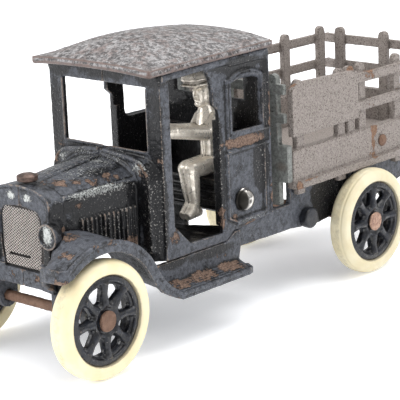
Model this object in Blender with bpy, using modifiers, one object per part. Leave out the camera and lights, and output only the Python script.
"""Cast iron toy stake truck.

Two body halves and two chassis halves are cast in iron and riveted together. A domed roof, a
plated grille and a plated driver are set in. The stake bed is riveted to the chassis rails, and
rubber tyred iron wheels turn on peened axles.

Lengths are in metres. The radiator faces -Y, the tail rack +Y, and +X is the truck's left side.
Places along Y are measured from the front axle, and the pieces are set down on their row at the end.
"""

import math

import bmesh
import bpy
from mathutils import Matrix, Vector

MM = 0.001

# Fits
SEAM = 0.15 * MM              # half of the gap between two mirrored castings
FIT = 0.3 * MM                # gap between pieces that touch
RUNNING = 0.35 * MM           # gap round a shaft that turns
PAST_SEAM = -2.0 * MM         # how far half castings are shaped before they are cut at the seam

# Widths that follow each other outwards, from the load bed to the tyres
BED_HALF_WIDTH = 45.2 * MM
PANEL_THICKNESS = 5.0 * MM
RACK_CLEARANCE = 0.5 * MM     # gap between a side rack and the rail beside it
RAIL_OUTER = BED_HALF_WIDTH - PANEL_THICKNESS - RACK_CLEARANCE
VALANCE_PROUD = 2.1 * MM      # how far a valance stands out from its rail
VALANCE_OUTER = RAIL_OUTER + VALANCE_PROUD
TYRE_CLEARANCE = 2.9 * MM     # gap between a rail and the tyres beside it
TYRE_WIDTH = 12.4 * MM
TRACK_OUTER = RAIL_OUTER + TYRE_CLEARANCE + TYRE_WIDTH
FENDER_SHORT = 0.8 * MM       # how far a fender ends inside the tyre's outer face
FENDER_OUTER = TRACK_OUTER - FENDER_SHORT

# Wheels and axles
TYRE_RADIUS = 31.0 * MM
TYRE_INNER_RADIUS = 22.3 * MM
WHEELBASE = 220.4 * MM
RIM_RADIUS = 23.2 * MM
RIM_WIDTH = 10.0 * MM
RIM_LIP = 1.3 * MM
WEB_THICKNESS = 3.2 * MM
HUB_RADIUS = 8.6 * MM
HUB_INNER_LENGTH = 3.4 * MM   # how far the hub reaches inwards from the rim
SPOKES = 8
SPOKE_HALF_WIDTH = 1.7 * MM
AXLE_RADIUS = 2.8 * MM
PIN_HEAD_RADIUS = 5.6 * MM
PIN_HEAD_THICKNESS = 1.5 * MM
PIN_SUNK = 0.35 * MM          # how far an axle's end lies inside the tyre's outer face
PIN_FACE = TRACK_OUTER - PIN_SUNK

# Cab
CAB_HALF_WIDTH = 41.2 * MM
CAB_FRONT = 57.4 * MM
CAB_REAR = 142.2 * MM
CAB_WALL = 3.0 * MM
SILL = 45.0 * MM              # underside of the body between the fender and the bed
SILL_KICK = 49.5 * MM         # underside behind the doorway
SILL_REAR = 52.0 * MM
WINDSCREEN_HALF_WIDTH = 31.5 * MM
WINDSCREEN_BOTTOM = 101.7 * MM
WINDSCREEN_TOP = 136.9 * MM
DOOR_FRONT = 64.6 * MM
DOOR_REAR = 101.8 * MM
DOOR_SILL = 50.8 * MM
DOOR_CHAMFER = 11.5 * MM
DOOR_BRACKET = 119.5 * MM     # height where the rear edge steps forward into its bracket
DOOR_TOP = 143.4 * MM
SIDE_WINDOW_FRONT = 110.5 * MM
SIDE_WINDOW_REAR = 135.2 * MM
SIDE_WINDOW_BOTTOM = 103.5 * MM
SIDE_WINDOW_TOP = 131.0 * MM
WINDOW_MOULDING = 2.6 * MM
MOULDING_PROUD = 0.9 * MM
REAR_WINDOW_HALF_WIDTH = 26.0 * MM
REAR_WINDOW_BOTTOM = 115.0 * MM
REAR_WINDOW_TOP = 136.0 * MM
BELT_TOP = 101.4 * MM
BELT_BAND = 7.6 * MM

# Roof
ROOF_HALF_WIDTH = 43.6 * MM
ROOF_FRONT = 47.9 * MM
ROOF_REAR = 144.6 * MM
ROOF_EDGE_FRONT = 148.0 * MM
ROOF_EDGE_REAR = 149.4 * MM
ROOF_CROWN = 9.9 * MM
ROOF_SHEET = 2.0 * MM
ROOF_SKIRT = 3.0 * MM

# Hood, cowl and radiator shell
SHELL_FRONT = -6.0 * MM
SHELL_DEPTH = 10.0 * MM
SHELL_HALF_WIDTH = 22.4 * MM
SHELL_TOP = 94.4 * MM
SHELL_SHOULDER = 86.5 * MM
SHELL_FOOT = 50.3 * MM
GRILLE_HALF_WIDTH = 15.4 * MM
GRILLE_TOP = 83.6 * MM
GRILLE_THICKNESS = 2.4 * MM
GRILLE_RECESS = 0.8 * MM
CAP_RADIUS = 5.2 * MM
CAP_HEIGHT = 4.2 * MM
CAP_PLACE = 0.5 * MM
HOOD_REAR = 52.0 * MM
HOOD_HALF_WIDTH_FRONT = 21.7 * MM
HOOD_HALF_WIDTH_REAR = 26.8 * MM
HOOD_TOP_FRONT = 93.6 * MM
HOOD_TOP_REAR = 98.6 * MM
HOOD_SHOULDER = 86.8 * MM
HOOD_WALL = 3.0 * MM
LOUVRES = 13
LOUVRE_FIRST = 14.9 * MM
LOUVRE_LAST = 49.4 * MM
LOUVRE_TOP = 75.2 * MM
LOUVRE_WIDTH = 1.5 * MM
LOUVRE_PROUD = 0.8 * MM
COWL_HALF_WIDTH = 35.2 * MM
COWL_TOP = 101.2 * MM
COWL_SHOULDER = 86.6 * MM
COWL_CORNER = 13.0 * MM
LAMP_RADIUS = 7.0 * MM
LAMP_OUT = 22.2 * MM
LAMP_HEIGHT = 71.2 * MM
LAMP_FRONT = -9.0 * MM
LAMP_LIP = 1.2 * MM

# Fenders, running boards and chassis rails
FENDER_RADIUS = 40.0 * MM
FENDER_CENTRE = 0.5 * MM
FENDER_FRONT_ANGLE = -38.0
FENDER_REAR_ANGLE = 60.0
FENDER_SHEET = 2.3 * MM
FENDER_CROWN = 1.2 * MM
FLANGE_DEPTH = 5.2 * MM
FRONT_BOW = 1.2 * MM          # how far the front edge bows up over the tyre
FENDER_NOSE = 5.2 * MM        # how far the fender's front lip reaches beyond its arch
FENDER_NOSE_DROP = 0.4 * MM
NOSE_SHAPE = (0.1, 0.7, 1.0, 1.1, 1.1, 1.0, 0.5)  # shares of that reach from the hood outwards
APRON_FRONT = -6.8 * MM
FENDER_FRONT = -8.8 * MM      # where the fender's front edge starts beside the shell
APRON_THICKNESS = 1.9 * MM
APRON_CORNER = 13.0 * MM      # where the apron turns forward to meet the fender
APRON_BOTTOM = 41.2 * MM
APRON_TOP = 50.0 * MM
BOARD_FRONT = 55.0 * MM
BOARD_REAR = 113.5 * MM
BOARD_OUTER_HEIGHT = 30.1 * MM
BOARD_INNER_HEIGHT = 33.4 * MM
BOARD_LIP = 2.7 * MM
VALANCE_THICKNESS = 3.2 * MM
RAIL_THICKNESS = 3.4 * MM
RAIL_TOP = 66.0 * MM
RAIL_STEP = 160.5 * MM        # where the rail steps up to carry the bed
RAIL_REAR = 289.0 * MM
LUG_INNER = 20.0 * MM
LUG_THICKNESS = 3.4 * MM
LUG_HALF_WIDTH = 6.6 * MM

# Stake bed
BED_FRONT = 153.2 * MM
BED_REAR = 306.6 * MM
BED_FLOOR_THICKNESS = 3.4 * MM
FRONT_RACK_THICKNESS = 4.2 * MM
PANEL_BOTTOM = 67.0 * MM
PANEL_TOP = 89.0 * MM
LEDGE_HEIGHT = 4.0 * MM
LEDGE_PROUD = 2.0 * MM
LEFT_RACK_DROP = 4.2 * MM     # the left rack has settled on its rivet
STAKE_WIDTH = 6.4 * MM
STAKE_THICKNESS = 3.8 * MM
STAKE_TOP = 128.0 * MM
GATE_DROP = 1.6 * MM          # how far the tail rack's stakes and rails stand below the others
STAKE_FOOT = 4.6 * MM         # how far a stake shows under its ledge
FRONT_FOOT = 14.0 * MM
RAIL_WIDTH = 5.6 * MM
RACK_RAIL_THICKNESS = 2.6 * MM
RACK_RAIL_TOPS = (122.6 * MM, 106.2 * MM)
SIDE_STAKES = (165.7 * MM, 202.7 * MM, 212.1 * MM, 222.7 * MM, 257.0 * MM, 291.6 * MM)
END_STAKES = (-34.5 * MM, 0.0, 34.5 * MM)
PLATE_FRONT = 156.1 * MM
PLATE_REAR = 215.4 * MM
PLATE_BOTTOM = 97.2 * MM
PLATE_TOP = 127.0 * MM
PLATE_THICKNESS = 3.4 * MM
TAIL_RACK_THICKNESS = 2.8 * MM
TAIL_RAIL_PROUD = 3.4 * MM    # how far its rail ends stand out beside the bed

# Rivets and rods
CAB_RIVET = (118.6 * MM, 65.3 * MM)
CAB_RIVET_RADIUS = 2.4 * MM
CAB_RIVET_HEAD_RADIUS = 6.1 * MM
CAB_RIVET_HEAD_HEIGHT = 4.4 * MM
BED_RIVET = (239.0 * MM, 75.0 * MM)
BED_RIVET_RADIUS = 2.0 * MM
BED_RIVET_HEAD_RADIUS = 3.7 * MM
BED_RIVET_HEAD_HEIGHT = 2.4 * MM
TIE_ROD_RADIUS = 2.4 * MM
TIE_HEAD_RADIUS = 6.0 * MM
TIE_CLEARANCE = 9.9 * MM      # gap between the tie rod's head and the rear tyre
TIE_ROD = (WHEELBASE - TYRE_RADIUS - TIE_CLEARANCE - TIE_HEAD_RADIUS, 42.4 * MM)
TIE_HEAD_LENGTH = 5.0 * MM
FLOOR_LUG_WIDTH = 15.0 * MM
FLOOR_LUG_THICKNESS = 3.0 * MM
FLOOR_LUG_TOP = 80.0 * MM

# Seat and driver
CAB_FLOOR_THICKNESS = 3.0 * MM
CAB_FLOOR_REAR = 104.1 * MM
SEAT_FRONT = 112.0 * MM
SEAT_TOP = 76.0 * MM
SEAT_FOOT = 57.5 * MM
SEAT_BACK_TOP = 98.0 * MM
SEAT_PLATE = 3.4 * MM
DRIVER_PLACE = 16.0 * MM      # how far the driver sits to the left of the centre line
DRIVER_HEIGHT = 66.0 * MM     # from the soles to the cap, seated

STEPS = 32
FLAT = math.radians(0.1)      # faces that turn less than this count as one flat face
ROW_SHIFT = (TYRE_RADIUS - BED_REAR) / 2

IRON_BLACK = (0.016, 0.017, 0.020)
IRON_GREY = (0.30, 0.28, 0.26)
IRON_RUST = (0.20, 0.085, 0.040)
NICKEL = (0.52, 0.49, 0.43)
BRONZE = (0.085, 0.060, 0.048)
RUBBER = (0.78, 0.71, 0.52)


# Scene and materials

def clear_scene():
    """Remove what the scene holds, so that the script can run again."""
    for item in list(bpy.data.objects):
        bpy.data.objects.remove(item, do_unlink=True)


def new_collection(name):
    """Make an empty collection in the scene."""
    group = bpy.data.collections.get(name)
    if group is None:
        group = bpy.data.collections.new(name)
        bpy.context.scene.collection.children.link(group)
    return group


def finish(name, colour, roughness, metallic):
    """Make a Principled material with one colour."""
    material = bpy.data.materials.new(name)
    material.use_nodes = True
    shader = material.node_tree.nodes["Principled BSDF"]
    shader.inputs["Base Color"].default_value = (*colour, 1.0)
    shader.inputs["Roughness"].default_value = roughness
    shader.inputs["Metallic"].default_value = metallic
    return material


# Solids

def solid(bm, name="piece"):
    """Turn a bmesh into an object, with its faces pointing out."""
    bmesh.ops.remove_doubles(bm, verts=bm.verts, dist=1e-6)
    bmesh.ops.recalc_face_normals(bm, faces=bm.faces)
    bmesh.ops.dissolve_limit(bm, angle_limit=FLAT, verts=bm.verts, edges=bm.edges)
    bmesh.ops.triangulate(bm, faces=bm.faces)
    mesh = bpy.data.meshes.new(name)
    bm.to_mesh(mesh)
    bm.free()
    piece = bpy.data.objects.new(name, mesh)
    PARTS.objects.link(piece)
    return piece


def bake(piece):
    """Replace a piece's mesh by what its modifiers, or its curve, make of it."""
    bpy.context.view_layer.update()
    graph = bpy.context.evaluated_depsgraph_get()
    mesh = bpy.data.meshes.new_from_object(piece.evaluated_get(graph))
    mesh.transform(piece.matrix_world)
    bm = bmesh.new()
    bm.from_mesh(mesh)
    bpy.data.meshes.remove(mesh)
    bpy.data.objects.remove(piece, do_unlink=True)
    return solid(bm)


def box(x, y, z):
    """Make a block from its lowest and highest place on each axis."""
    bm = bmesh.new()
    bmesh.ops.create_cube(bm, size=1.0)
    size = Vector((x[1] - x[0], y[1] - y[0], z[1] - z[0]))
    middle = Vector((x[0] + x[1], y[0] + y[1], z[0] + z[1])) / 2
    for vertex in bm.verts:
        vertex.co = Vector(a * b for a, b in zip(vertex.co, size)) + middle
    return solid(bm)


def slab(side, low, high, outline, *holes):
    """Cut a flat piece from a plate that lies square to X or Y, from low to high."""
    curve = bpy.data.curves.new("outline", "CURVE")
    curve.dimensions = "2D"
    curve.fill_mode = "BOTH"
    curve.extrude = (high - low) / 2
    for loop in (outline, *holes):
        spline = curve.splines.new("POLY")
        spline.points.add(len(loop) - 1)
        for point, (u, v) in zip(spline.points, loop):
            point.co = (u, v, 0.0, 1.0)
        spline.use_cyclic_u = True
    piece = bpy.data.objects.new("slab", curve)
    PARTS.objects.link(piece)
    middle = (low + high) / 2
    if side == "X":
        piece.matrix_world = Matrix(((0, 0, 1, middle), (1, 0, 0, 0), (0, 1, 0, 0), (0, 0, 0, 1)))
    else:
        piece.matrix_world = Matrix(((1, 0, 0, 0), (0, 0, -1, middle), (0, 1, 0, 0), (0, 0, 0, 1)))
    return bake(piece)


def turned(profile, steps=STEPS):
    """Turn a profile of (radius, place) pairs about the X axis, from its outer end to its inner."""
    mesh = bpy.data.meshes.new("profile")
    points = [(radius, 0.0, place) for radius, place in profile]
    closed = profile[0][0] > 0 and profile[-1][0] > 0
    edges = [(index, index + 1) for index in range(len(points) - 1)]
    if closed:
        edges.append((len(points) - 1, 0))
    mesh.from_pydata(points, edges, [])
    piece = bpy.data.objects.new("turned", mesh)
    PARTS.objects.link(piece)
    screw = piece.modifiers.new("Screw", "SCREW")
    screw.steps = steps
    screw.render_steps = steps
    screw.use_merge_vertices = True
    screw.merge_threshold = 0.00001
    piece.matrix_world = Matrix.Rotation(math.pi / 2, 4, "Y")
    return bake(piece)


def bar_loft(sections):
    """Skin a row of like loops of points, and close its two ends."""
    bm = bmesh.new()
    rows = [[bm.verts.new(point) for point in section] for section in sections]
    count = len(rows[0])
    for row, following in zip(rows, rows[1:]):
        for k in range(count):
            after = (k + 1) % count
            bm.faces.new((row[k], row[after], following[after], following[k]))
    for end in (rows[0], rows[-1]):
        bm.faces.new(end)
    return solid(bm)


def sheet(rows, thickness):
    """Skin a grid of points and thicken it away from its upper side."""
    bm = bmesh.new()
    grid = [[bm.verts.new(point) for point in row] for row in rows]
    for row, following in zip(grid, grid[1:]):
        for k in range(len(row) - 1):
            bm.faces.new((row[k], row[k + 1], following[k + 1], following[k]))
    bmesh.ops.remove_doubles(bm, verts=bm.verts, dist=1e-6)
    bmesh.ops.recalc_face_normals(bm, faces=bm.faces)
    top = max(bm.faces, key=lambda face: face.calc_center_median().z)
    if top.normal.z < 0:
        bmesh.ops.reverse_faces(bm, faces=bm.faces)
    mesh = bpy.data.meshes.new("sheet")
    bm.to_mesh(mesh)
    bm.free()
    piece = bpy.data.objects.new("sheet", mesh)
    PARTS.objects.link(piece)
    thicken = piece.modifiers.new("Solidify", "SOLIDIFY")
    thicken.thickness = thickness
    thicken.offset = -1.0
    thicken.use_even_offset = True
    return bake(piece)


def combine(base, others, operation="UNION"):
    """Join solids to a base, or cut them from it, and use them up."""
    for other in others:
        change = base.modifiers.new("Boolean", "BOOLEAN")
        change.operation = operation
        change.solver = "EXACT"
        change.object = other
    result = bake(base)
    for other in others:
        bpy.data.objects.remove(other, do_unlink=True)
    return result


def join(base, *others):
    """Join solids into one body."""
    return combine(base, others)


def cut(base, *others):
    """Cut solids out of a body."""
    return combine(base, others, "DIFFERENCE")


def mirrored(piece):
    """Make the mirror image of a piece on the other side of the centre line."""
    bm = bmesh.new()
    bm.from_mesh(piece.data)
    bmesh.ops.scale(bm, vec=(-1.0, 1.0, 1.0), verts=bm.verts)
    bmesh.ops.reverse_faces(bm, faces=bm.faces)
    return solid(bm)


def rod(radius, low, high, y, z, steps=20):
    """Make a straight rod along X."""
    piece = turned([(0.0, high), (radius, high), (radius, low), (0.0, low)], steps)
    piece.location = (0.0, y, z)
    return bake(piece)


def name_piece(piece, name, material, pivot=(0.0, 0.0, 0.0)):
    """Name a finished piece, dress it and set its origin on its pivot."""
    piece.name = name
    piece.data.name = name
    piece.data.transform(Matrix.Translation(-Vector(pivot)))
    piece.location = Vector(pivot) + Vector((0.0, ROW_SHIFT, 0.0))
    piece.data.materials.clear()
    piece.data.materials.append(material)
    piece.data.shade_smooth()
    piece.data.set_sharp_from_angle(angle=math.radians(32))
    return piece


# Outlines

def arc(centre, radius, start, end, count):
    """List points on an arc, with angles in degrees from the first axis."""
    angles = [math.radians(start + (end - start) * k / (count - 1)) for k in range(count)]
    return [(centre[0] + radius * math.cos(a), centre[1] + radius * math.sin(a)) for a in angles]


def spread(low, high, count):
    """List evenly spaced values, both ends included."""
    return [low + (high - low) * k / (count - 1) for k in range(count)]


# Roof

def roof_swell(share):
    """Give the height of the crown along the roof, as a share of its highest."""
    peak, front, rear = 0.38, 0.14, 0.42
    if share < peak:
        return front + (1 - front) * math.sin(math.pi / 2 * share / peak)
    return rear + (1 - rear) * math.cos(math.pi / 2 * (share - peak) / (1 - peak))


def roof_height(x, y):
    """Give the height of the roof's upper side."""
    share = (y - ROOF_FRONT) / (ROOF_REAR - ROOF_FRONT)
    edge = ROOF_EDGE_FRONT + (ROOF_EDGE_REAR - ROOF_EDGE_FRONT) * share
    across = 1 - (abs(x) / ROOF_HALF_WIDTH) ** 2.3
    return edge + across * ROOF_CROWN * roof_swell(share)


def under_roof(x, y):
    """Give the height of the top of a wall that carries the roof."""
    return roof_height(x, y) - 1.2 * ROOF_SHEET - 2 * FIT


def make_roof():
    """Make the domed roof with its turned down edge."""
    def ring(value, low, high):
        """Keep the skirt's points on the roof's edge."""
        return min(max(value, low), high)

    xs = spread(-ROOF_HALF_WIDTH, ROOF_HALF_WIDTH, 13)
    ys = spread(ROOF_FRONT, ROOF_REAR, 12)
    skirt_xs = [xs[0] - 1.0, *xs, xs[-1] + 1.0]
    skirt_ys = [ys[0] - 1.0, *ys, ys[-1] + 1.0]
    rows = []
    for v in skirt_ys:
        row = []
        for u in skirt_xs:
            x = ring(u, xs[0], xs[-1])
            y = ring(v, ys[0], ys[-1])
            drop = ROOF_SKIRT if (x, y) != (u, v) else 0.0
            row.append((x, y, roof_height(x, y) - drop))
        rows.append(row)
    return sheet(rows, ROOF_SHEET)


# Hood, cowl and cab

def hood_share(y):
    """Give a place along the hood as a share of its length."""
    front = SHELL_FRONT + SHELL_DEPTH
    return (y - front) / (HOOD_REAR - front)


def hood_half_width(y):
    """Give the hood's half width at a place along the truck."""
    return HOOD_HALF_WIDTH_FRONT + (HOOD_HALF_WIDTH_REAR - HOOD_HALF_WIDTH_FRONT) * hood_share(y)


def hood_top(y):
    """Give the height of the hood's crown at a place along the truck."""
    return HOOD_TOP_FRONT + (HOOD_TOP_REAR - HOOD_TOP_FRONT) * hood_share(y)


def crown(half_width, top, shoulder, count=9):
    """List points over half a crown, from past the centre line to the shoulder."""
    points = [(PAST_SEAM, top)]
    for angle in spread(0.0, math.pi / 2, count):
        points.append((half_width * math.sin(angle), shoulder + (top - shoulder) * math.cos(angle)))
    return points


def cowl_line(half_width):
    """List points over half of the cowl, from the centre line down to its side."""
    inner = half_width - COWL_CORNER
    low_crown = COWL_TOP - 2.0 * MM
    points = [(PAST_SEAM, COWL_TOP), (inner / 2, COWL_TOP - 0.5 * MM)]
    for angle in spread(90.0, 0.0, 7):
        a = math.radians(angle)
        x = inner + COWL_CORNER * math.cos(a)
        points.append((x, COWL_SHOULDER + (low_crown - COWL_SHOULDER) * math.sin(a)))
    return points


def fender_height(y):
    """Give the height of the fender where it meets the hood."""
    reach = min(abs(y - FENDER_CENTRE), FENDER_RADIUS)
    return TYRE_RADIUS + FENDER_CROWN + math.sqrt(FENDER_RADIUS ** 2 - reach ** 2)


def make_hood():
    """Make half of the hood with its louvres, open to the cab and cut to the fender."""
    sections = []
    for y in (SHELL_FRONT + SHELL_DEPTH - 1.0 * MM, HOOD_REAR + 1.0 * MM):
        wide = hood_half_width(y)
        outer = crown(wide, hood_top(y), HOOD_SHOULDER) + [(wide - 0.4 * MM, SILL - 3 * MM)]
        inner = crown(wide - HOOD_WALL, hood_top(y) - HOOD_WALL, HOOD_SHOULDER - 1.0 * MM)
        inner = [(wide - HOOD_WALL - 0.4 * MM, SILL - 3 * MM)] + inner[::-1]
        sections.append([(x, y, z) for x, z in outer + inner])
    hood = bar_loft(sections)
    ribs = []
    for y in spread(LOUVRE_FIRST, LOUVRE_LAST, LOUVRES):
        side = hood_half_width(y)
        span = (y - LOUVRE_WIDTH / 2, y + LOUVRE_WIDTH / 2)
        ribs.append(box((side - 1.5 * MM, side + LOUVRE_PROUD), span, (SILL + 2 * MM, LOUVRE_TOP)))
    hood = join(hood, *ribs)
    along = spread(SHELL_FRONT - 4 * MM, HOOD_REAR - 10 * MM, 15)
    under = [(y, fender_height(y) - FENDER_SHEET - FIT) for y in along]
    under += [(HOOD_REAR - 4 * MM, SILL - 1 * MM), (HOOD_REAR - 4 * MM, SILL - 9 * MM)]
    under.append((SHELL_FRONT - 4 * MM, SILL - 9 * MM))
    return cut(hood, slab("X", 1 * MM, 2 * COWL_HALF_WIDTH, under))


def shell_side(z):
    """Give the radiator shell's half width below its shoulder."""
    return SHELL_HALF_WIDTH - 1.8 * MM * (SHELL_SHOULDER - z) / (SHELL_SHOULDER - SHELL_FOOT)


def grille_line(grow=0.0):
    """List half of the grille's outline, from the top centre to the foot."""
    wide = GRILLE_HALF_WIDTH + grow
    top = GRILLE_TOP + grow
    corner = 6.5 * MM
    points = [(PAST_SEAM, top), (wide - corner, top - 1.2 * MM)]
    points += arc((wide - corner, top - 1.2 * MM - corner), corner, 70, 0, 4)
    points += [(wide, 61.0 * MM), (wide - 1.2 * MM, SHELL_FOOT + FIT - grow)]
    return points


def make_lamp(grow=0.0):
    """Make a headlamp, or with a margin the shape that the fender leaves free for it."""
    lip = LAMP_LIP if grow == 0.0 else -grow
    radius = LAMP_RADIUS + grow
    lamp = turned([
        (0.0, -LAMP_FRONT - lip), (radius - 1.7 * MM, -LAMP_FRONT - lip),
        (radius - 1.2 * MM, -LAMP_FRONT + grow), (radius - 0.3 * MM, -LAMP_FRONT + grow),
        (radius, -LAMP_FRONT - 0.8 * MM), (radius * 0.93, 5 * MM),
        (radius * 0.72, 2.2 * MM - grow), (radius * 0.35, -grow), (0.0, -0.4 * MM - grow),
    ], 20)
    to_front = Matrix.Rotation(-math.pi / 2, 4, "Z")
    lamp.matrix_world = Matrix.Translation((LAMP_OUT, 0.0, LAMP_HEIGHT)) @ to_front
    return bake(lamp)


def make_shell():
    """Make half of the radiator shell with its headlamp."""
    outer = crown(SHELL_HALF_WIDTH, SHELL_TOP, SHELL_SHOULDER) + [(shell_side(SHELL_FOOT), SHELL_FOOT)]
    inner = grille_line(FIT)
    inner[-1] = (inner[-1][0], SHELL_FOOT)
    shell = slab("Y", SHELL_FRONT, SHELL_FRONT + SHELL_DEPTH, outer + inner[::-1])
    return join(shell, make_lamp())


def make_cowl():
    """Make half of the cowl, with its front face round the hood."""
    outer_front = cowl_line(COWL_HALF_WIDTH)
    outer_rear = cowl_line(CAB_HALF_WIDTH - 0.2 * MM)
    sections = []
    for y, outer in ((HOOD_REAR, outer_front), (CAB_FRONT + 1.3 * MM, outer_rear)):
        foot = SILL - 2 * MM
        line = outer + [(outer[-1][0], foot)]
        inside = []
        for x, z in outer:
            drop = CAB_WALL if z > COWL_SHOULDER + 0.1 * MM else 0.0
            inside.append((max(PAST_SEAM, x - CAB_WALL), z - drop))
        inside.append((outer[-1][0] - CAB_WALL, foot))
        sections.append([(x, y, z) for x, z in line + inside[::-1]])
    cowl = bar_loft(sections)
    wide = hood_half_width(HOOD_REAR) - 1.5 * MM
    hood_line = crown(wide, hood_top(HOOD_REAR) - 1.5 * MM, HOOD_SHOULDER - 0.5 * MM)
    face = [(x - 0.5 * MM if x > 1 * MM else x, z - 0.5 * MM) for x, z in outer_front]
    face.append((COWL_HALF_WIDTH - 0.5 * MM, SILL - 3 * MM))
    face += [(wide - 0.4 * MM, SILL - 3 * MM)] + hood_line[::-1]
    return join(cowl, slab("Y", HOOD_REAR - 0.25 * MM, HOOD_REAR + 2.3 * MM, face))


def doorway():
    """List the doorway's outline on the side of the cab."""
    return [
        (DOOR_FRONT, DOOR_SILL + DOOR_CHAMFER), (DOOR_FRONT + DOOR_CHAMFER, DOOR_SILL),
        (DOOR_REAR, DOOR_SILL - 0.8 * MM), (DOOR_REAR, DOOR_BRACKET - 1.5 * MM),
        (DOOR_REAR - 4.2 * MM, DOOR_BRACKET + 2.0 * MM),
        (DOOR_REAR - 4.4 * MM, DOOR_BRACKET + 10 * MM), (DOOR_REAR - 6.2 * MM, DOOR_BRACKET + 17 * MM),
        (DOOR_REAR - 11.0 * MM, DOOR_TOP), (DOOR_FRONT, DOOR_TOP),
    ]


def window_line(grow=0.0):
    """List the side window's outline, which has an arched top and one rounded corner."""
    front, rear = SIDE_WINDOW_FRONT - grow, SIDE_WINDOW_REAR + grow
    low, high = SIDE_WINDOW_BOTTOM - grow, SIDE_WINDOW_TOP + grow
    soft = 4.5 * MM
    points = arc((front + soft, low + soft), soft, 180, 270, 4)
    points += [(rear, low), (rear, high - 0.8 * MM)]
    for share in (0.75, 0.5, 0.25):
        points.append((front + (rear - front) * share, high + 1.0 * MM * math.sin(math.pi * share)))
    return points + [(front, high - 0.8 * MM)]


def make_cab():
    """Make half of the cab: side, windscreen frame, rear wall and mouldings."""
    skin = CAB_HALF_WIDTH - CAB_WALL
    crest = [(y, under_roof(CAB_HALF_WIDTH, y)) for y in spread(CAB_REAR, CAB_FRONT, 6)]
    side = [
        (CAB_FRONT, SILL), (DOOR_REAR + 2.5 * MM, SILL),
        (DOOR_REAR + 9.0 * MM, SILL_KICK), (CAB_REAR, SILL_REAR),
    ]
    cab = slab("X", skin, CAB_HALF_WIDTH, side + crest, doorway(), window_line())
    inset = 0.1 * MM
    edge = CAB_HALF_WIDTH - 0.5 * MM
    brow = [(x, under_roof(x, CAB_FRONT)) for x in spread(edge, PAST_SEAM, 7)]
    front = [(PAST_SEAM, COWL_TOP - 6 * MM), (edge, COWL_TOP - 6 * MM)] + brow
    front += [
        (PAST_SEAM, WINDSCREEN_TOP), (WINDSCREEN_HALF_WIDTH, WINDSCREEN_TOP),
        (WINDSCREEN_HALF_WIDTH, WINDSCREEN_BOTTOM), (PAST_SEAM, WINDSCREEN_BOTTOM),
    ]
    crest = [(x, under_roof(x, CAB_REAR)) for x in spread(edge, PAST_SEAM, 7)]
    rear = [(PAST_SEAM, SILL_REAR + inset), (edge, SILL_REAR + inset)] + crest
    rear += [
        (PAST_SEAM, REAR_WINDOW_TOP), (REAR_WINDOW_HALF_WIDTH, REAR_WINDOW_TOP),
        (REAR_WINDOW_HALF_WIDTH, REAR_WINDOW_BOTTOM), (PAST_SEAM, REAR_WINDOW_BOTTOM),
    ]
    proud = CAB_HALF_WIDTH + MOULDING_PROUD
    frame = slab("X", skin + 1 * MM, proud, window_line(WINDOW_MOULDING), window_line(0.9 * MM))
    span = (DOOR_REAR + 5.5 * MM, CAB_REAR - 1.5 * MM)
    belt = box((skin + 1 * MM, proud - 0.3 * MM), span, (BELT_TOP - BELT_BAND, BELT_TOP - 1.2 * MM))
    bead = (SILL_REAR + 0.2 * MM, SILL_REAR + 2.2 * MM)
    foot = box((skin + 1 * MM, proud), (span[0] + 6 * MM, span[1] - 5 * MM), bead)
    corner = (CAB_REAR - 3.0 * MM, CAB_REAR - 0.4 * MM)
    edge = box((skin + 1 * MM, proud - 0.2 * MM), corner, (SILL_REAR + 1 * MM, 144 * MM))
    windscreen = slab("Y", CAB_FRONT + inset, CAB_FRONT + CAB_WALL, front)
    back = slab("Y", CAB_REAR - CAB_WALL, CAB_REAR - inset, rear)
    cab = join(cab, windscreen, back, frame, belt, foot, edge)
    hole = rod(CAB_RIVET_RADIUS + FIT, skin - 5 * MM, proud + 5 * MM, *CAB_RIVET)
    return cut(cab, hole)


def make_body():
    """Make the left body casting: hood, radiator shell, cowl and cab in one."""
    body = join(make_cab(), make_cowl(), make_hood(), make_shell())
    foot = (SILL - 12 * MM, SILL + 0.1 * MM)
    below = box((-5 * MM, CAB_HALF_WIDTH + 5 * MM), (SHELL_FRONT - 5 * MM, DOOR_REAR), foot)
    whole = (SILL - 18 * MM, ROOF_EDGE_REAR + 20 * MM)
    beyond = box((-8 * MM, SEAM), (SHELL_FRONT - 9 * MM, CAB_REAR + 9 * MM), whole)
    return cut(body, below, beyond)


def make_grille():
    """Make the plated grille that fills the radiator shell."""
    half = grille_line()[1:]
    whole = half + [(-x, z) for x, z in half[::-1]]
    front = SHELL_FRONT + GRILLE_RECESS
    plate = slab("Y", front, front + GRILLE_THICKNESS, whole)
    slot = box((-11.5 * MM, 11.5 * MM), (front - 1 * MM, front + 1 * MM), (56.4 * MM, 57.8 * MM))
    return cut(plate, slot)


def make_cap():
    """Make the radiator cap, a mushroom on a short neck."""
    foot = SHELL_TOP + 0.55 * MM
    top = foot + CAP_HEIGHT
    profile = [
        (0.0, -top), (CAP_RADIUS * 0.55, -top + 0.3 * MM), (CAP_RADIUS * 0.92, -top + 1.1 * MM),
        (CAP_RADIUS, -top + 2.0 * MM), (CAP_RADIUS * 0.9, -top + 2.8 * MM),
        (CAP_RADIUS * 0.6, -top + 3.2 * MM), (CAP_RADIUS * 0.6, -foot), (0.0, -foot),
    ]
    profile = [(radius, -place) for radius, place in profile]
    cap = turned(profile, 24)
    cap.matrix_world = Matrix.Translation((0.0, CAP_PLACE, 0.0)) @ Matrix.Rotation(-math.pi / 2, 4, "Y")
    return bake(cap)


# Chassis

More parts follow.
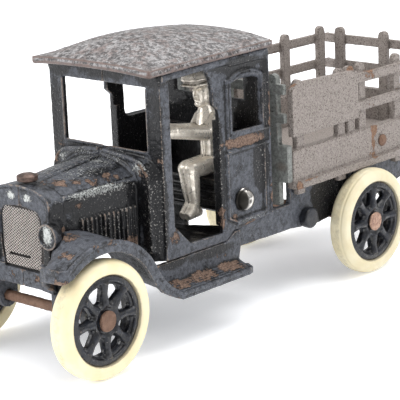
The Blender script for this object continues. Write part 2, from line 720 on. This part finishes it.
def fender_grid():
    """List the rows of the fender and running board, from the apron back to the board's end."""
    stations = []
    front_steps, arch_steps, tail_steps = 5, 7, 4
    for k in range(front_steps + 1):
        share = k / front_steps
        angle = math.radians(FENDER_FRONT_ANGLE * (1 - share))
        reach = (FENDER_RADIUS * math.sin(angle), FENDER_RADIUS * math.cos(angle))
        outer = (FENDER_CENTRE + reach[0], TYRE_RADIUS + reach[1])
        a = math.pi / 2 * share
        low = (FENDER_FRONT, APRON_TOP + 2.0 * MM)
        rise = fender_height(FENDER_CENTRE) - low[1]
        inner = (low[0] + (FENDER_CENTRE - low[0]) * (1 - math.cos(a)), low[1] + rise * math.sin(a))
        stations.append((inner, outer, FENDER_OUTER, math.degrees(angle)))
    for k in range(1, arch_steps + 1):
        angle = math.radians(FENDER_REAR_ANGLE * k / arch_steps)
        y = FENDER_CENTRE + FENDER_RADIUS * math.sin(angle)
        z = TYRE_RADIUS + FENDER_RADIUS * math.cos(angle)
        stations.append(((y, z + FENDER_CROWN), (y, z), FENDER_OUTER, math.degrees(angle)))
    start = stations[-1][1]
    bend = (start[0] + 5.4 * MM, start[1] - 12.6 * MM)
    end = (BOARD_FRONT, BOARD_OUTER_HEIGHT)
    for k in range(1, tail_steps + 1):
        t = k / tail_steps
        y = (1 - t) ** 2 * start[0] + 2 * t * (1 - t) * bend[0] + t ** 2 * end[0]
        z = (1 - t) ** 2 * start[1] + 2 * t * (1 - t) * bend[1] + t ** 2 * end[1]
        rise = FENDER_CROWN + (BOARD_INNER_HEIGHT - BOARD_OUTER_HEIGHT - FENDER_CROWN) * t
        stations.append(((y, z + rise), (y, z), FENDER_OUTER, FENDER_REAR_ANGLE * (1 - t)))
    for y, out in ((BOARD_REAR - 5 * MM, 0.0), (BOARD_REAR - 1.5 * MM, 1.4 * MM), (BOARD_REAR, 5.0 * MM)):
        stations.append(((y, BOARD_INNER_HEIGHT), (y, BOARD_OUTER_HEIGHT), FENDER_OUTER - out, 0.0))
    return stations


def fender_inner(y):
    """Give how far in the fender reaches at a place along the truck."""
    beside_hood = max(hood_half_width(y), SHELL_HALF_WIDTH) + LOUVRE_PROUD + FIT
    share = min(max((y - HOOD_REAR + 4 * MM) / (8 * MM), 0.0), 1.0)
    return beside_hood + (VALANCE_OUTER - VALANCE_THICKNESS / 2 - beside_hood) * share


def make_fender():
    """Make the left fender and running board as one flanged sheet."""
    across = (0.0, 0.25, 0.5, 0.62, 0.75, 0.93, 1.0)
    hang_depth = [depth * MM for depth in (8.8, 8.4, 7.4, 6.8, 6.4, 5.8, 5.2)]
    rows = []
    for index, (inner, outer, reach, angle) in enumerate(fender_grid()):
        near = fender_inner(inner[0])
        row = []
        for share in across:
            fall = max(0.0, 1 - index / 5)
            early = math.sin(math.pi / 2 * min(share / 0.55, 1.0))
            along = share + (early - share) * fall
            x = near + (reach - near) * share
            y = inner[0] + (outer[0] - inner[0]) * along
            bow = FRONT_BOW * math.sin(math.pi * share) * fall
            z = inner[1] + (outer[1] - inner[1]) * along + bow
            row.append(Vector((x, y, z)))
        depth = FLANGE_DEPTH if index < 15 else max(BOARD_LIP, FLANGE_DEPTH - 1.4 * MM * (index - 14))
        lean = math.radians(angle)
        row.append(row[-1] + Vector((0.0, -depth * math.sin(lean), -depth * math.cos(lean))))
        rows.append(row)
    nose = []
    for share, point in zip(NOSE_SHAPE, rows[0]):
        nose.append(point + Vector((0.0, -FENDER_NOSE * share, -FENDER_NOSE_DROP)))
    nose.append(nose[-1] + Vector((0.0, 0.0, -FLANGE_DEPTH)))
    hang = []
    for depth, point in zip(hang_depth, nose):
        hang.append(point + Vector((0.0, 0.4 * MM, -depth)))
    hang[-1] = nose[-1].copy()
    hang.append(nose[-1].copy())
    return sheet([hang, nose, *rows], FENDER_SHEET)


def make_chassis():
    """Make the left chassis casting: apron, fender, running board, valance, rail and axle lugs."""
    corner = fender_inner(FENDER_FRONT) + 1.5 * MM
    apron_rear = APRON_FRONT + APRON_THICKNESS
    apron = box((PAST_SEAM, corner), (APRON_FRONT, apron_rear), (APRON_BOTTOM, APRON_TOP))
    nose = [
        (APRON_CORNER, APRON_FRONT - 0.1 * MM), (corner, FENDER_FRONT - 0.4 * MM),
        (corner, SHELL_FRONT - FIT), (APRON_CORNER, SHELL_FRONT - FIT),
    ]
    nose = bar_loft([[(x, y, z) for x, y in nose] for z in (APRON_BOTTOM + 0.1 * MM, APRON_TOP + 1.6 * MM)])
    low = arc((0.0, TYRE_RADIUS), LUG_HALF_WIDTH, 180, 360, 9)
    brace = [
        (LUG_HALF_WIDTH, APRON_BOTTOM), (LUG_HALF_WIDTH - 1 * MM, APRON_TOP - 1 * MM),
        (APRON_FRONT + 0.5 * MM, APRON_TOP - 1 * MM),
        (APRON_FRONT + 0.5 * MM, APRON_BOTTOM + 0.5 * MM), (-LUG_HALF_WIDTH, APRON_BOTTOM + 0.5 * MM),
    ]
    lug = slab("X", LUG_INNER, LUG_INNER + LUG_THICKNESS, low + brace)
    top = fender_height(0.0) - FENDER_SHEET / 2
    beside = fender_inner(0.0) + 0.4 * MM
    under = (APRON_BOTTOM - 0.5 * MM, APRON_TOP - 2.5 * MM)
    foot = box((LUG_INNER + 1 * MM, beside + 2 * MM), (-4.6 * MM, 4.6 * MM), under)
    strut = box((beside, beside + LUG_THICKNESS), (-5.2 * MM, 5.4 * MM), (APRON_BOTTOM + 1 * MM, top))
    valance = slab("X", VALANCE_OUTER - VALANCE_THICKNESS, VALANCE_OUTER, [
        (BOARD_FRONT - 8 * MM, BOARD_OUTER_HEIGHT + 4.5 * MM), (BOARD_FRONT, BOARD_INNER_HEIGHT - 3.4 * MM),
        (BOARD_REAR - 0.5 * MM, BOARD_INNER_HEIGHT - 3.4 * MM), (BOARD_REAR + 1.5 * MM, SILL - 6 * MM),
        (BOARD_REAR + 1.5 * MM, SILL_KICK - FIT - 0.3 * MM),
        (DOOR_REAR + 9.0 * MM, SILL_KICK - FIT - 0.3 * MM),
        (DOOR_REAR + 2.3 * MM, SILL - FIT), (BOARD_FRONT - 8 * MM, SILL - FIT),
    ])
    back = WHEELBASE
    hanger = arc((back, TYRE_RADIUS), 7.0 * MM, 200, 340, 7)
    rail = slab("X", RAIL_OUTER - RAIL_THICKNESS, RAIL_OUTER, [
        (DOOR_FRONT, SILL - 7.0 * MM), (BOARD_REAR, SILL - 6.2 * MM), (RAIL_STEP, SILL - 6.8 * MM),
        (RAIL_STEP + 22 * MM, SILL - 9 * MM), (back - 17 * MM, SILL - 7 * MM), *hanger,
        (back + 17 * MM, SILL - 5 * MM), (RAIL_REAR, SILL + 7 * MM), (RAIL_REAR, RAIL_TOP),
        (RAIL_STEP, RAIL_TOP), (RAIL_STEP, SILL_REAR + 1.0 * MM), (CAB_REAR + 1 * MM, SILL_REAR + 0.5 * MM),
        (CAB_REAR + 1 * MM, SILL_REAR - FIT), (DOOR_REAR + 9.0 * MM, SILL_KICK - FIT),
        (DOOR_REAR + 2.3 * MM, SILL - FIT), (DOOR_FRONT, SILL - FIT),
    ])
    chassis = join(make_fender(), apron, nose, foot, lug, strut, valance, rail)
    holes = [
        make_lamp(FIT), box((-8 * MM, SEAM), (APRON_FRONT - 9 * MM, RAIL_REAR), (0.0, RAIL_TOP)),
        rod(AXLE_RADIUS + RUNNING, LUG_INNER - 3 * MM, RAIL_OUTER + 3 * MM, 0.0, TYRE_RADIUS),
        rod(AXLE_RADIUS + RUNNING, LUG_INNER - 3 * MM, RAIL_OUTER + 3 * MM, back, TYRE_RADIUS),
        rod(TIE_ROD_RADIUS + FIT, LUG_INNER - 3 * MM, RAIL_OUTER + 3 * MM, *TIE_ROD),
    ]
    return cut(chassis, *holes)


# Wheels

def spoke_gap(index):
    """List the outline of one teardrop opening between two spokes."""
    turn = 2 * math.pi * (index + 0.5) / SPOKES
    outer = RIM_RADIUS - RIM_LIP - 3.4 * MM
    inner = HUB_RADIUS + 1.4 * MM
    points = []
    for share in spread(-1.0, 1.0, 5):
        half = math.pi / SPOKES - math.asin(SPOKE_HALF_WIDTH / outer)
        radius = outer - 1.6 * MM * share ** 4
        points.append((radius, half * share))
    half = math.pi / SPOKES - math.asin(SPOKE_HALF_WIDTH * 1.15 / (inner + 3 * MM))
    for rise, share in ((3.2, 0.92), (0.4, 0.45), (0.4, -0.45), (3.2, -0.92)):
        points.append((inner + rise * MM, half * share))
    return [(radius * math.cos(turn + a), radius * math.sin(turn + a)) for radius, a in points]


def make_wheel():
    """Make an iron wheel on the X axis, with its outer face towards +X."""
    face = TYRE_WIDTH / 2 - 1.6 * MM
    back = face - RIM_WIDTH
    rim = RIM_RADIUS - RIM_LIP
    web_face = face - 1.4 * MM
    seat = TYRE_INNER_RADIUS - FIT
    ring = turned([
        (rim - 1.0 * MM, face), (RIM_RADIUS, face - 0.2 * MM), (RIM_RADIUS, face - 1.2 * MM),
        (seat, face - 1.5 * MM), (seat, back), (seat - 2.2 * MM, back),
        (seat - 2.4 * MM, web_face - WEB_THICKNESS), (rim - 2.2 * MM, web_face),
    ])
    gaps = [spoke_gap(index) for index in range(SPOKES)]
    hole = arc((0, 0), HUB_RADIUS - 2.8 * MM, 0, 342, 20)
    edge = arc((0, 0), seat - 1.0 * MM, 0, 350, STEPS)
    disc = slab("X", web_face - WEB_THICKNESS, web_face, edge, hole, *gaps)
    hub_face = PIN_FACE - PIN_HEAD_THICKNESS - FIT - (TRACK_OUTER - TYRE_WIDTH / 2)
    bore = AXLE_RADIUS + RUNNING
    hub = turned([
        (bore, hub_face), (HUB_RADIUS - 1.6 * MM, hub_face), (HUB_RADIUS - 0.4 * MM, hub_face - 0.8 * MM),
        (HUB_RADIUS, web_face - 0.5 * MM), (HUB_RADIUS, web_face - WEB_THICKNESS + 0.6 * MM),
        (HUB_RADIUS - 2.0 * MM, back), (HUB_RADIUS - 2.2 * MM, back - HUB_INNER_LENGTH),
        (bore, back - HUB_INNER_LENGTH),
    ], 20)
    return join(disc, ring, hub)


def make_tyre():
    """Make a rubber tyre of rounded section on the X axis."""
    half = TYRE_WIDTH / 2
    rise = (TYRE_RADIUS - TYRE_INNER_RADIUS) / 2
    middle = (TYRE_RADIUS + TYRE_INNER_RADIUS) / 2
    lip = RIM_RADIUS + FIT
    section = [(TYRE_INNER_RADIUS, half - 3.4 * MM), (lip, half - 3.2 * MM), (lip, half - 1.2 * MM)]
    for angle in spread(-50.0, 230.0, 11):
        a = math.radians(angle)
        swell = math.copysign(abs(math.cos(a)) ** 0.8, math.cos(a))
        lift = math.copysign(abs(math.sin(a)) ** 0.8, math.sin(a))
        section.append((middle + rise * lift, half * swell))
    section[3:] = [point for point in section[3:] if point[0] > lip + 0.4 * MM]
    section.append((TYRE_INNER_RADIUS, -half + 1.2 * MM))
    return turned(section)


def make_axle():
    """Make an axle with its peened heads."""
    head = PIN_FACE
    shoulder = head - PIN_HEAD_THICKNESS
    half = [
        (0.0, head), (PIN_HEAD_RADIUS - 0.5 * MM, head), (PIN_HEAD_RADIUS, head - 0.5 * MM),
        (PIN_HEAD_RADIUS, shoulder + 0.2 * MM), (PIN_HEAD_RADIUS - 0.3 * MM, shoulder),
        (AXLE_RADIUS, shoulder),
    ]
    return turned(half + [(radius, -place) for radius, place in half[::-1]], 20)


# Stake bed

def stake(x, y, low, high):
    """Make a stake with a rounded top, across X or Y whichever span is wider."""
    along_x = x[1] - x[0] > y[1] - y[0]
    wide = x if along_x else y
    middle, radius = (wide[0] + wide[1]) / 2, (wide[1] - wide[0]) / 2
    outline = [(wide[0], low), (wide[1], low)] + arc((middle, high - radius), radius, 0, 180, 7)
    if along_x:
        return slab("Y", y[0], y[1], outline)
    return slab("X", x[0], x[1], outline)


def make_side_rack(sign, drop):
    """Make a side rack: lower panel with a ledge, stakes, two rails and a plain sign plate."""
    inner = BED_HALF_WIDTH - PANEL_THICKNESS
    front = BED_FRONT + FRONT_RACK_THICKNESS + FIT
    rear = BED_REAR - TAIL_RACK_THICKNESS - 3.2 * MM

    def side(low, high):
        """Place a span of X on this rack's side of the truck."""
        return (low, high) if sign > 0 else (-high, -low)

    panel = box(side(inner, BED_HALF_WIDTH), (front, rear), (PANEL_BOTTOM, PANEL_TOP))
    low = PANEL_BOTTOM - 0.5 * MM
    span = (front + 0.6 * MM, rear - 0.6 * MM)
    ledge = box(side(inner + 1 * MM, BED_HALF_WIDTH + LEDGE_PROUD), span, (low, PANEL_BOTTOM + LEDGE_HEIGHT))
    pieces = [ledge]
    for y in SIDE_STAKES:
        span = (y - STAKE_WIDTH / 2, y + STAKE_WIDTH / 2)
        foot = 0.0 if abs(y - WHEELBASE) < 13 * MM else STAKE_FOOT
        thick = side(inner + 0.3 * MM, inner + STAKE_THICKNESS)
        pieces.append(stake(thick, span, PANEL_BOTTOM - foot, STAKE_TOP))
    outer = inner + STAKE_THICKNESS - 0.4 * MM
    span = (PLATE_FRONT + 3 * MM, SIDE_STAKES[-1] + 2.6 * MM)
    for top in RACK_RAIL_TOPS:
        pieces.append(box(side(outer, outer + RACK_RAIL_THICKNESS), span, (top - RAIL_WIDTH, top)))
    corner = 3.5 * MM
    plate = [
        (PLATE_FRONT, PLATE_BOTTOM), (PLATE_REAR, PLATE_BOTTOM), (PLATE_REAR, PLATE_TOP - 2.5 * MM),
        (PLATE_REAR - 3 * MM, PLATE_TOP - 1.4 * MM), (PLATE_FRONT + 9 * MM, PLATE_TOP),
        (PLATE_FRONT + corner, PLATE_TOP - 1.2 * MM), (PLATE_FRONT, PLATE_TOP - corner),
    ]
    pieces.append(slab("X", *side(outer - 0.3 * MM, outer + PLATE_THICKNESS), plate))
    rack = join(panel, *pieces)
    y, z = BED_RIVET
    hole = rod(BED_RIVET_RADIUS + FIT, *side(inner - 2 * MM, BED_HALF_WIDTH + 5 * MM), y, z + drop)
    rack = cut(rack, hole)
    rack.location.z = -drop
    return bake(rack)


def make_front_rack():
    """Make the front rack with its panel, three stakes and two rails."""
    rear = BED_FRONT + FRONT_RACK_THICKNESS
    pieces = []
    for x in END_STAKES:
        span = (x - STAKE_WIDTH / 2, x + STAKE_WIDTH / 2)
        pieces.append(stake(span, (rear - STAKE_THICKNESS, rear), PANEL_BOTTOM - FRONT_FOOT, STAKE_TOP))
    wide = BED_HALF_WIDTH - 0.6 * MM
    inside = BED_HALF_WIDTH - PANEL_THICKNESS + STAKE_THICKNESS - 1.0 * MM
    depth = (BED_FRONT, BED_FRONT + RACK_RAIL_THICKNESS)
    for top in RACK_RAIL_TOPS:
        pieces.append(box((-inside, inside), depth, (top - RAIL_WIDTH, top)))
    panel = box((-wide, wide), (BED_FRONT, rear), (PANEL_BOTTOM, PANEL_TOP - 1.0 * MM))
    return join(panel, *pieces)


def make_tail_rack():
    """Make the lift-out tail rack, whose rail ends pass behind the side racks."""
    inner = BED_HALF_WIDTH - PANEL_THICKNESS
    rails = (BED_REAR - TAIL_RACK_THICKNESS, BED_REAR)
    posts = (rails[0] - STAKE_THICKNESS + 0.8 * MM, rails[0] + 0.8 * MM)
    pieces = []
    for x in END_STAKES:
        span = (x - STAKE_WIDTH / 2, x + STAKE_WIDTH / 2)
        pieces.append(stake(span, posts, PANEL_BOTTOM, STAKE_TOP - GATE_DROP))
    wide = BED_HALF_WIDTH + TAIL_RAIL_PROUD
    for rail_top in RACK_RAIL_TOPS:
        top = rail_top - GATE_DROP
        pieces.append(box((-wide, wide), rails, (top - RAIL_WIDTH, top)))
        depth = (rails[0] + SEAM, rails[1] - SEAM)
        for end in (-wide + SEAM, wide - SEAM - 3.6 * MM):
            pieces.append(stake((end, end + 3.6 * MM), depth, top - 4 * MM, top + 0.5 * MM))
    across = (-inner + 3 * FIT, inner - 3 * FIT)
    panel = box(across, (posts[0] + 1 * MM, rails[1]), (PANEL_BOTTOM + 0.2 * MM, PANEL_TOP))
    return join(panel, *pieces)


def make_floor():
    """Make the bed floor with the two lugs that take the side rivets."""
    inner = BED_HALF_WIDTH - PANEL_THICKNESS - FIT
    low = RAIL_TOP + FIT
    high = low + BED_FLOOR_THICKNESS
    rear = BED_REAR - TAIL_RACK_THICKNESS - STAKE_THICKNESS + 0.8 * MM - FIT
    floor = box((-inner, inner), (BED_FRONT + FRONT_RACK_THICKNESS + FIT, rear), (low, high))
    y, z = BED_RIVET
    span = (y - FLOOR_LUG_WIDTH / 2, y + FLOOR_LUG_WIDTH / 2)
    lugs = []
    for sign in (-1, 1):
        ends = sorted((sign * inner, sign * (inner - FLOOR_LUG_THICKNESS)))
        lugs.append(box(ends, span, (low + 1 * MM, FLOOR_LUG_TOP)))
    floor = join(floor, *lugs)
    reach = BED_HALF_WIDTH
    return cut(floor, rod(BED_RIVET_RADIUS + FIT, -reach, reach, y, z))


# Rivets and rods

def domed_rod(radius, head_radius, head_height, low, high, domed_low=True):
    """Make a rivet along X between two bearing faces, with a domed head at each end."""
    dome = [(0.0, high + head_height)]
    for angle in spread(68.0, 0.0, 4):
        a = math.radians(angle)
        dome.append((head_radius * math.cos(a), high + FIT + (head_height - FIT) * math.sin(a)))
    profile = dome + [(radius, high + FIT)]
    if domed_low:
        profile += [(x, low + high - place) for x, place in profile[::-1]]
    else:
        small = head_radius * 0.75
        face = low - FIT
        profile += [(radius, face), (small, face), (small * 0.8, face - 1.2 * MM), (0.0, face - 1.2 * MM)]
    return turned(profile, 20)


def make_cab_rivet():
    """Make the through rivet that holds the two body halves together."""
    half = CAB_HALF_WIDTH
    piece = domed_rod(CAB_RIVET_RADIUS, CAB_RIVET_HEAD_RADIUS, CAB_RIVET_HEAD_HEIGHT, -half, half)
    piece.location = (0.0, *CAB_RIVET)
    return bake(piece)


def make_bed_rivet(sign):
    """Make the rivet that holds one side rack to the floor's lug."""
    low = BED_HALF_WIDTH - PANEL_THICKNESS - FIT - FLOOR_LUG_THICKNESS
    head = (BED_RIVET_HEAD_RADIUS, BED_RIVET_HEAD_HEIGHT)
    piece = domed_rod(BED_RIVET_RADIUS, *head, low, BED_HALF_WIDTH, False)
    piece.location = (0.0, *BED_RIVET)
    piece = bake(piece)
    if sign > 0:
        return piece
    other = mirrored(piece)
    bpy.data.objects.remove(piece, do_unlink=True)
    return other


def make_tie_rod():
    """Make the rod that ties the two chassis rails."""
    face = RAIL_OUTER + FIT
    half = [
        (0.0, face + TIE_HEAD_LENGTH), (TIE_HEAD_RADIUS - 0.8 * MM, face + TIE_HEAD_LENGTH),
        (TIE_HEAD_RADIUS, face + TIE_HEAD_LENGTH - 0.8 * MM), (TIE_HEAD_RADIUS, face), (TIE_ROD_RADIUS, face),
    ]
    piece = turned(half + [(radius, -place) for radius, place in half[::-1]], 20)
    piece.location = (0.0, *TIE_ROD)
    return bake(piece)


# Seat and driver

def make_seat():
    """Make the ribbed bench that spans the cab."""
    reach = CAB_HALF_WIDTH - CAB_WALL - FIT
    rear = CAB_REAR - CAB_WALL - FIT
    line = [
        (SEAT_FRONT, SEAT_FOOT), (SEAT_FRONT + SEAT_PLATE, SEAT_FOOT),
        (SEAT_FRONT + SEAT_PLATE, SEAT_TOP - SEAT_PLATE), (rear, SEAT_TOP - SEAT_PLATE),
        (rear, SEAT_BACK_TOP), (rear - SEAT_PLATE, SEAT_BACK_TOP), (rear - SEAT_PLATE, SEAT_TOP),
        (SEAT_FRONT - 1.5 * MM, SEAT_TOP), (SEAT_FRONT - 1.5 * MM, SEAT_TOP - SEAT_PLATE),
        (SEAT_FRONT, SEAT_TOP - SEAT_PLATE),
    ]
    proud = SEAT_FRONT - 1.2 * MM
    for z in spread(SEAT_TOP - SEAT_PLATE - 4.0 * MM, SEAT_FOOT + 1 * MM, 3):
        top = z + 1.4 * MM
        line += [(SEAT_FRONT, top), (proud, top), (proud, z), (SEAT_FRONT, z)]
    return slab("X", -reach, reach, line)


def limb(start, end, first, last, steps=10):
    """Make a tapered limb with rounded ends between two points."""
    start, end = Vector(start), Vector(end)
    along = end - start
    profile = [(0.0, along.length + last)]
    for angle in (60.0, 25.0):
        a = math.radians(angle)
        profile.append((last * math.cos(a), along.length + last * math.sin(a)))
    for angle in (-5.0, -40.0):
        a = math.radians(angle)
        profile.append((first * math.cos(a), first * math.sin(a)))
    profile.append((0.0, -first))
    piece = turned(profile, steps)
    turn = Vector((1.0, 0.0, 0.0)).rotation_difference(along)
    piece.matrix_world = Matrix.Translation(start) @ turn.to_matrix().to_4x4()
    return bake(piece)


def ball(centre, size, steps=12):
    """Make an ellipsoid from its centre and half sizes."""
    bm = bmesh.new()
    bmesh.ops.create_uvsphere(bm, u_segments=steps, v_segments=steps // 2 + 1, radius=1.0)
    for vertex in bm.verts:
        vertex.co = Vector(a * b + c for a, b, c in zip(vertex.co, size, centre))
    return solid(bm)


def make_driver():
    """Make the seated driver, a slim casting with a cap and both arms held out to the front."""
    unit = DRIVER_HEIGHT / 66
    seat = SEAT_TOP + FIT

    def at(x, y, z):
        """Place a point to the driver's left, behind the seat's front and above the seat, in figure units."""
        return Vector((DRIVER_PLACE + x * unit, SEAT_FRONT + y * unit, seat + z * unit))

    def size(*units):
        """Turn figure units into metres."""
        return tuple(u * unit for u in units)

    pieces = [
        ball(at(0, 8.6, 30.0), size(6.9, 5.0, 5.6)),
        limb(at(0, 8.7, 5.6), at(0, 8.2, 27.6), *size(4.9, 4.8), 14),
        limb(at(0, 6.8, 32.6), at(0, 6.0, 40.6), *size(3.4, 3.0)),
        ball(at(0, 4.6, 45.4), size(4.9, 5.4, 7.6)),
        ball(at(0, 0.2, 54.6), size(6.2, 9.6, 4.4)),
        ball(at(0, -3.8, 51.6), size(4.8, 6.6, 1.3)),
    ]
    for sign in (-1, 1):
        shoulder, elbow = at(sign * 4.4, 6.6, 30.6), at(sign * 3.8, -3.0, 28.6)
        hand = at(sign * 2.9, -31.0, 31.0)
        hip, knee = at(sign * 2.6, 10.3, 5.6), at(sign * 2.6, -8.8, 5.8)
        ankle, heel = at(sign * 2.2, -6.8, -13.3), at(sign * 2.2, -3.8, -19.3)
        toe = at(sign * 2.7, -14.4, -20.7)
        pieces += [
            limb(shoulder, elbow, *size(4.4, 4.1)), limb(elbow, hand, *size(4.1, 3.2)),
            limb(hip, knee, *size(5.2, 4.4)), limb(knee, ankle, *size(4.2, 2.6)),
            limb(ankle, toe, *size(2.8, 2.3)), limb(heel, toe, *size(2.6, 2.3)),
            limb(ankle, heel, *size(2.7, 2.5)),
        ]
    front = SEAT_FRONT - 1.8 * MM
    rear = at(0, 30, 0).y
    under = [(front, seat), (rear, seat), (rear, SEAT_FOOT - 9 * MM), (front, SEAT_FOOT - 9 * MM)]
    return cut(join(*pieces), slab("X", at(-20, 0, 0).x, at(20, 0, 0).x, under))


def make_cab_floor():
    """Make the plate that lies on the chassis in front of the seat."""
    reach = CAB_HALF_WIDTH - CAB_WALL - FIT
    low = SILL
    outline = [
        (CAB_FRONT + CAB_WALL + FIT, low), (CAB_FLOOR_REAR, low), (CAB_FLOOR_REAR, low + CAB_FLOOR_THICKNESS),
        (CAB_FRONT + CAB_WALL + FIT, low + CAB_FLOOR_THICKNESS),
    ]
    return slab("X", -reach, reach, outline)


# Whole truck

def wheel_place(sign, axle):
    """Give the centre of a wheel."""
    return (sign * (TRACK_OUTER - TYRE_WIDTH / 2), axle, TYRE_RADIUS)


def add_wheels(black, rubber):
    """Put an iron wheel and its tyre at each corner."""
    for end, axle in (("front", 0.0), ("rear", WHEELBASE)):
        for side, sign in (("left", 1), ("right", -1)):
            place = Vector(wheel_place(sign, axle))
            for kind, make, material in (("wheel", make_wheel, black), ("tyre", make_tyre, rubber)):
                piece = make()
                turn = Matrix.Identity(4) if sign > 0 else Matrix.Rotation(math.pi, 4, "Z")
                piece.data.transform(Matrix.Translation(place) @ turn)
                name_piece(piece, f"{kind}_{end}_{side}", material, place)


def main():
    """Build the truck."""
    black = finish("worn_black_iron", IRON_BLACK, 0.45, 0.25)
    grey = finish("worn_grey_iron", IRON_GREY, 0.62, 0.15)
    rust = finish("rusty_steel", IRON_RUST, 0.7, 0.4)
    nickel = finish("worn_nickel", NICKEL, 0.32, 1.0)
    bronze = finish("dark_bronze", BRONZE, 0.42, 0.8)
    rubber = finish("ivory_rubber", RUBBER, 0.6, 0.0)

    body = make_body()
    name_piece(mirrored(body), "body_right", black)
    name_piece(body, "body_left", black)
    chassis = make_chassis()
    name_piece(mirrored(chassis), "chassis_right", black)
    name_piece(chassis, "chassis_left", black)
    name_piece(make_roof(), "roof", black)
    name_piece(make_grille(), "radiator_grille", nickel)
    name_piece(make_cap(), "radiator_cap", bronze)
    name_piece(make_cab_rivet(), "cab_rivet", nickel)
    name_piece(make_seat(), "seat", black)
    name_piece(make_cab_floor(), "cab_floor", black)
    name_piece(make_driver(), "driver", nickel)
    name_piece(make_floor(), "bed_floor", grey)
    name_piece(make_side_rack(1, LEFT_RACK_DROP), "side_rack_left", grey)
    name_piece(make_side_rack(-1, 0.0), "side_rack_right", grey)
    name_piece(make_front_rack(), "front_rack", grey)
    name_piece(make_tail_rack(), "tail_rack", grey)
    name_piece(make_bed_rivet(1), "bed_rivet_left", rust)
    name_piece(make_bed_rivet(-1), "bed_rivet_right", rust)
    name_piece(make_tie_rod(), "chassis_tie_rod", black)
    for end, place in (("front", 0.0), ("rear", WHEELBASE)):
        pivot = (0.0, place, TYRE_RADIUS)
        axle = make_axle()
        axle.data.transform(Matrix.Translation(pivot))
        name_piece(axle, f"axle_{end}", rust, pivot)
    add_wheels(black, rubber)


clear_scene()
PARTS = new_collection("toy_truck")
main()
